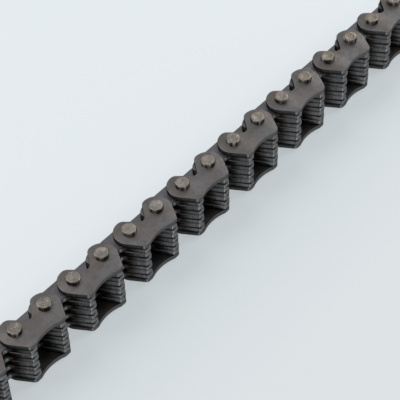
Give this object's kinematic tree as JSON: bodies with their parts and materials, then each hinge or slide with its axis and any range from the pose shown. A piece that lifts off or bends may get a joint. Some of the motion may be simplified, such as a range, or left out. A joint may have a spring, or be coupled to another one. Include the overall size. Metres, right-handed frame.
{
  "type": "timing chain strand",
  "caption": "Open strand of inverted-tooth timing chain: toothed link plates and outer guide plates laced on round pins, hinged at every pin",
  "frame": {"origin": "under the middle of the strand, on the plane that the pins' lower ends stand on", "axes": "+X along the strand, -Y the way the toes point, +Z along the pins"},
  "size_m": [0.1196, 0.0066, 0.0107],
  "materials": {
    "guide_plate": "satin dark grey, tumbled and oiled",
    "link_plate": "satin dark grey with bare sheared edges",
    "pin": "pale hardened steel"
  },
  "bodies": {
    "guide_row_1": {"guide_row_1_lower_guide_plate": "guide_plate", "guide_row_1_upper_guide_plate": "guide_plate", "guide_row_1_link_plates": "link_plate", "guide_row_1_pins": "pin"},
    "inner_row_1": {"inner_row_1_outer_link_plates": "link_plate", "inner_row_1_middle_link_plates": "link_plate"},
    "guide_row_2": {"guide_row_2_lower_guide_plate": "guide_plate", "guide_row_2_upper_guide_plate": "guide_plate", "guide_row_2_link_plates": "link_plate", "guide_row_2_pins": "pin"},
    "inner_row_2": {"inner_row_2_outer_link_plates": "link_plate", "inner_row_2_middle_link_plates": "link_plate"},
    "guide_row_3": {"guide_row_3_lower_guide_plate": "guide_plate", "guide_row_3_upper_guide_plate": "guide_plate", "guide_row_3_link_plates": "link_plate", "guide_row_3_pins": "pin"},
    "inner_row_3": {"inner_row_3_outer_link_plates": "link_plate", "inner_row_3_middle_link_plates": "link_plate"},
    "guide_row_4": {"guide_row_4_lower_guide_plate": "guide_plate", "guide_row_4_upper_guide_plate": "guide_plate", "guide_row_4_link_plates": "link_plate", "guide_row_4_pins": "pin"},
    "inner_row_4": {"inner_row_4_outer_link_plates": "link_plate", "inner_row_4_middle_link_plates": "link_plate"},
    "guide_row_5": {"guide_row_5_lower_guide_plate": "guide_plate", "guide_row_5_upper_guide_plate": "guide_plate", "guide_row_5_link_plates": "link_plate", "guide_row_5_pins": "pin"},
    "inner_row_5": {"inner_row_5_outer_link_plates": "link_plate", "inner_row_5_middle_link_plates": "link_plate"},
    "guide_row_6": {"guide_row_6_lower_guide_plate": "guide_plate", "guide_row_6_upper_guide_plate": "guide_plate", "guide_row_6_link_plates": "link_plate", "guide_row_6_pins": "pin"},
    "inner_row_6": {"inner_row_6_outer_link_plates": "link_plate", "inner_row_6_middle_link_plates": "link_plate"},
    "guide_row_7": {"guide_row_7_lower_guide_plate": "guide_plate", "guide_row_7_upper_guide_plate": "guide_plate", "guide_row_7_link_plates": "link_plate", "guide_row_7_pins": "pin"},
    "inner_row_7": {"inner_row_7_outer_link_plates": "link_plate", "inner_row_7_middle_link_plates": "link_plate"},
    "guide_row_8": {"guide_row_8_lower_guide_plate": "guide_plate", "guide_row_8_upper_guide_plate": "guide_plate", "guide_row_8_link_plates": "link_plate", "guide_row_8_pins": "pin"},
    "inner_row_8": {"inner_row_8_outer_link_plates": "link_plate", "inner_row_8_middle_link_plates": "link_plate"},
    "guide_row_9": {"guide_row_9_lower_guide_plate": "guide_plate", "guide_row_9_upper_guide_plate": "guide_plate", "guide_row_9_link_plates": "link_plate", "guide_row_9_pins": "pin"},
    "inner_row_9": {"inner_row_9_outer_link_plates": "link_plate", "inner_row_9_middle_link_plates": "link_plate"}
  },
  "joints": [
    {"name": "hinge_1", "type": "hinge", "parent": "inner_row_1", "child": "guide_row_1", "pos_m": [-0.0508, 0.00069, 0.00535], "axis": [0, 0, 1], "range_deg": [-10, 18]},
    {"name": "hinge_2", "type": "hinge", "parent": "guide_row_2", "child": "inner_row_1", "pos_m": [-0.04445, 0.00069, 0.00535], "axis": [0, 0, 1], "range_deg": [-10, 18]},
    {"name": "hinge_3", "type": "hinge", "parent": "inner_row_2", "child": "guide_row_2", "pos_m": [-0.0381, 0.00069, 0.00535], "axis": [0, 0, 1], "range_deg": [-10, 18]},
    {"name": "hinge_4", "type": "hinge", "parent": "guide_row_3", "child": "inner_row_2", "pos_m": [-0.03175, 0.00069, 0.00535], "axis": [0, 0, 1], "range_deg": [-10, 18]},
    {"name": "hinge_5", "type": "hinge", "parent": "inner_row_3", "child": "guide_row_3", "pos_m": [-0.0254, 0.00069, 0.00535], "axis": [0, 0, 1], "range_deg": [-10, 18]},
    {"name": "hinge_6", "type": "hinge", "parent": "guide_row_4", "child": "inner_row_3", "pos_m": [-0.01905, 0.00069, 0.00535], "axis": [0, 0, 1], "range_deg": [-10, 18]},
    {"name": "hinge_7", "type": "hinge", "parent": "inner_row_4", "child": "guide_row_4", "pos_m": [-0.0127, 0.00069, 0.00535], "axis": [0, 0, 1], "range_deg": [-10, 18]},
    {"name": "hinge_8", "type": "hinge", "parent": "guide_row_5", "child": "inner_row_4", "pos_m": [-0.00635, 0.00069, 0.00535], "axis": [0, 0, 1], "range_deg": [-10, 18]},
    {"name": "hinge_9", "type": "hinge", "parent": "guide_row_5", "child": "inner_row_5", "pos_m": [0, 0.00069, 0.00535], "axis": [0, 0, -1], "range_deg": [-10, 18]},
    {"name": "hinge_10", "type": "hinge", "parent": "inner_row_5", "child": "guide_row_6", "pos_m": [0.00635, 0.00069, 0.00535], "axis": [0, 0, -1], "range_deg": [-10, 18]},
    {"name": "hinge_11", "type": "hinge", "parent": "guide_row_6", "child": "inner_row_6", "pos_m": [0.0127, 0.00069, 0.00535], "axis": [0, 0, -1], "range_deg": [-10, 18]},
    {"name": "hinge_12", "type": "hinge", "parent": "inner_row_6", "child": "guide_row_7", "pos_m": [0.01905, 0.00069, 0.00535], "axis": [0, 0, -1], "range_deg": [-10, 18]},
    {"name": "hinge_13", "type": "hinge", "parent": "guide_row_7", "child": "inner_row_7", "pos_m": [0.0254, 0.00069, 0.00535], "axis": [0, 0, -1], "range_deg": [-10, 18]},
    {"name": "hinge_14", "type": "hinge", "parent": "inner_row_7", "child": "guide_row_8", "pos_m": [0.03175, 0.00069, 0.00535], "axis": [0, 0, -1], "range_deg": [-10, 18]},
    {"name": "hinge_15", "type": "hinge", "parent": "guide_row_8", "child": "inner_row_8", "pos_m": [0.0381, 0.00069, 0.00535], "axis": [0, 0, -1], "range_deg": [-10, 18]},
    {"name": "hinge_16", "type": "hinge", "parent": "inner_row_8", "child": "guide_row_9", "pos_m": [0.04445, 0.00069, 0.00535], "axis": [0, 0, -1], "range_deg": [-10, 18]},
    {"name": "hinge_17", "type": "hinge", "parent": "guide_row_9", "child": "inner_row_9", "pos_m": [0.0508, 0.00069, 0.00535], "axis": [0, 0, -1], "range_deg": [-10, 18]}
  ]
}
